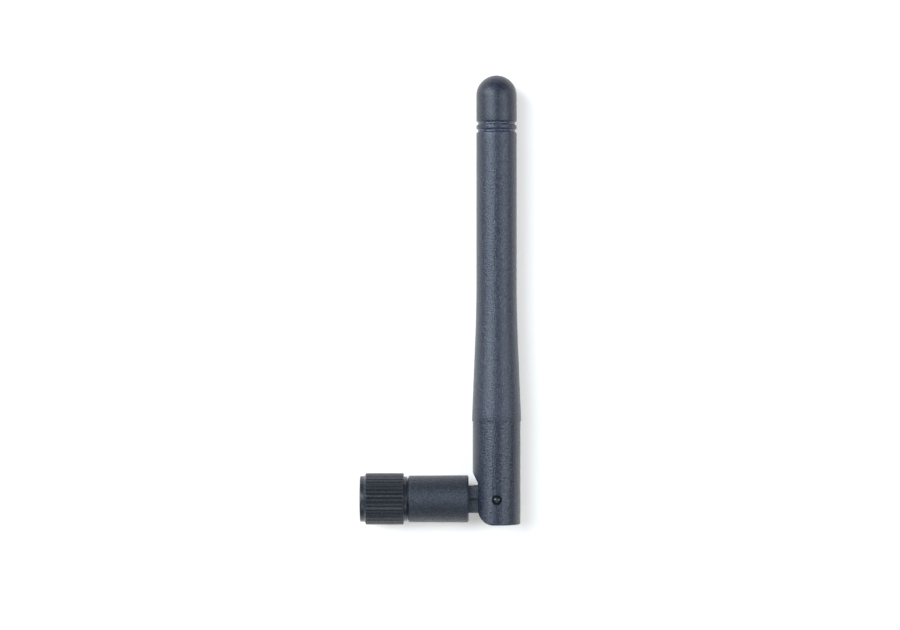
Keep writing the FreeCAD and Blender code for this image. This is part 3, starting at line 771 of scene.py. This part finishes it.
def nut():
    """The metal nut with its screw thread cut as a true helix, run out at both ends."""
    thread_stop = THREAD_END_X + THREAD_MARGIN
    outline = [(NUT_FRONT_X, MOUTH_BORE_R, 0.02), (NUT_FRONT_X, NUT_R, NUT_EDGE)]
    outline += [(KEY_X[0], NUT_R), (KEY_X[0], KEY_R), (KEY_X[1], KEY_R), (KEY_X[1], NUT_R)]
    outline += [(NUT_REAR_X, NUT_R, NUT_EDGE), (NUT_REAR_X, NUT_BORE_R, 0.05)]
    outline += [(RING_SEAT_X[1], NUT_BORE_R), (RING_SEAT_X[1], RING_SEAT_R)]
    outline += [(RING_SEAT_X[0], RING_SEAT_R), (RING_SEAT_X[0], NUT_BORE_R)]
    outline += [(RELIEF_X[1], NUT_BORE_R, 0.05), (RELIEF_X[1], RELIEF_R), (RELIEF_X[0], RELIEF_R)]
    outline = divided(rounded(outline), longest=0.9)[:-1]
    outline = [p for p in outline if not (p[1] < 3.3 and p[0] < thread_stop)]
    rows = math.ceil((thread_stop - NUT_FRONT_X) / THREAD_ROW)
    outline += [(x, THREAD_ROOT_R) for x in np.linspace(thread_stop, NUT_FRONT_X + 0.02, rows)]
    depth = THREAD_ROOT_R - THREAD_CREST_R
    flank_start, flank_run = THREAD_FLANK

    def helix(along, radius, around):
        """The thread's depth on the rows laid at its root; other points stay where they are."""
        if abs(radius - THREAD_ROOT_R) > 1e-6 or along > thread_stop + 1e-4:
            return np.zeros(len(around))
        phase = np.abs((along / THREAD_PITCH - around / (2 * math.pi)) % 1.0 - 0.5) * 2
        crest = np.clip((phase - flank_start) / flank_run, 0, 1)
        fade = np.clip((THREAD_END_X + THREAD_FADE / 2 - along) / THREAD_FADE, 0, 1)
        bore = THREAD_ROOT_R + (RELIEF_R - THREAD_ROOT_R) * (1 - fade) - depth * crest * fade
        chamfer = MOUTH_CHAMFER_R - (along - NUT_FRONT_X)
        return np.maximum(bore, chamfer) - radius

    return lathe("coupling_nut_threaded", outline, "x", turns(segments=144), helix)


stand_for(nut(), "coupling_nut", "nut")


# ------------------------------------------------------------------ cable through the hinge
def cable(name, outer, inner, start_x, end_y):
    """One layer of the coaxial cable, along the plug's axis, round the hinge and up the whip."""
    turn_x = PIN_X - CABLE_BEND
    path = [((x, 0.0), (1.0, 0.0)) for x in np.linspace(start_x, turn_x, 12)[:-1]]
    for a in np.linspace(0, math.pi / 2, 25):
        place = (turn_x + CABLE_BEND * math.sin(a), CABLE_BEND - CABLE_BEND * math.cos(a))
        path.append((place, (math.cos(a), math.sin(a))))
    path += [((PIN_X, y), (0.0, 1.0)) for y in np.linspace(CABLE_BEND, end_y, 24)[1:]]
    around = np.linspace(0, 2 * math.pi, 28, endpoint=False)
    rings = []
    for radius, points in ((outer, path), (inner, path[::-1])):
        for (x, y), (dx, dy) in points:
            out = radius * np.cos(around)
            rings.append(np.stack([x - dy * out, y + dx * out, radius * np.sin(around)], 1))
    rows, columns = len(rings), len(around)
    faces = [(i * columns + j, i * columns + (j + 1) % columns,
              (i + 1) % rows * columns + (j + 1) % columns, (i + 1) % rows * columns + j)
             for i in range(rows) for j in range(columns)]
    obj = new_object(name, np.concatenate(rings) * MM, faces)
    tidy_mesh(obj)
    return obj


for node, sizes in CABLE.items():
    layer = cable(node + "_run", *sizes)
    dress(layer, SLOT_OF[node])
    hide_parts(node)
    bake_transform(layer)


# ------------------------------------------------------------------ studio
def softbox(name, place, size, power, colour):
    """A wide lamp that faces the middle of the object."""
    data = bpy.data.lights.new(name, "AREA")
    data.shape = "RECTANGLE"
    data.size, data.size_y = size
    data.energy = power
    data.color = colour
    lamp = bpy.data.objects.new(name, data)
    SCENE.collection.objects.link(lamp)
    lamp.location = place
    middle = mathutils.Vector((0.014, 0.036, 0.0))
    aim = middle - lamp.location
    lamp.rotation_euler = aim.to_track_quat("-Z", "Y").to_euler()


def table():
    """A white sheet under the part."""
    half = 1.0
    level = FLOOR_Z * MM
    corners = [(-half, -half, level), (half, -half, level), (half, half, level), (-half, half, level)]
    sheet = new_object("floor", corners, [(0, 1, 2, 3)])
    m = Shade("table_paper")
    tone = m.mix(m.noise(200.0, 2.0), (0.95, 0.87, 0.78), (0.97, 0.89, 0.80))
    glow = {"Emission_Color": (1.0, 1.0, 1.0, 1.0), "Emission_Strength": 0.30}
    sheet.data.materials.append(m.close(tone, m.fit(m.noise(3.0), 0.0, 1.0, 0.7, 0.8),
                                        m.bump(m.noise(0.5), 0.01), **glow))


def surroundings():
    """A dim room for reflections, seen as plain white behind the table."""
    world = bpy.data.worlds.new("studio")
    SCENE.world = world
    world.use_nodes = True
    nodes, links = world.node_tree.nodes, world.node_tree.links
    room = nodes["Background"]
    room.inputs["Color"].default_value = (0.88, 0.93, 1.0, 1.0)
    room.inputs["Strength"].default_value = 0.14
    backdrop = nodes.new("ShaderNodeBackground")
    backdrop.inputs["Color"].default_value = (1.0, 1.0, 1.0, 1.0)
    backdrop.inputs["Strength"].default_value = 1.0
    seen = nodes.new("ShaderNodeLightPath")
    mix = nodes.new("ShaderNodeMixShader")
    links.new(seen.outputs["Is Camera Ray"], mix.inputs["Fac"])
    links.new(room.outputs["Background"], mix.inputs[1])
    links.new(backdrop.outputs["Background"], mix.inputs[2])
    links.new(mix.outputs["Shader"], nodes["World Output"].inputs["Surface"])


table()
surroundings()
softbox("left_box", (-1.35, 0.65, 1.55), (1.20, 2.40), power=66.0, colour=(0.75, 0.87, 1.0))
softbox("right_box", (1.50, 0.25, 1.55), (0.80, 2.00), power=25.0, colour=(0.77, 0.88, 1.0))
softbox("front_box", (0.10, -1.30, 1.70), (1.60, 0.90), power=7.0, colour=(0.80, 0.90, 1.0))


def overhead_camera():
    """Straight down on the part, from far enough that the whip shows little perspective."""
    height = 0.600
    view_width = 0.1734
    left_of_pin = 8.969
    up_the_whip = 35.42
    data = bpy.data.cameras.new("camera")
    data.sensor_width = 36.0
    data.lens = data.sensor_width * height / view_width
    data.clip_start = 0.01
    data.clip_end = 50.0
    camera = bpy.data.objects.new("camera", data)
    SCENE.collection.objects.link(camera)
    camera.location = ((PIN_X - left_of_pin) * MM, up_the_whip * MM, height)
    SCENE.camera = camera
    SCENE.view_settings.view_transform = "Standard"


overhead_camera()
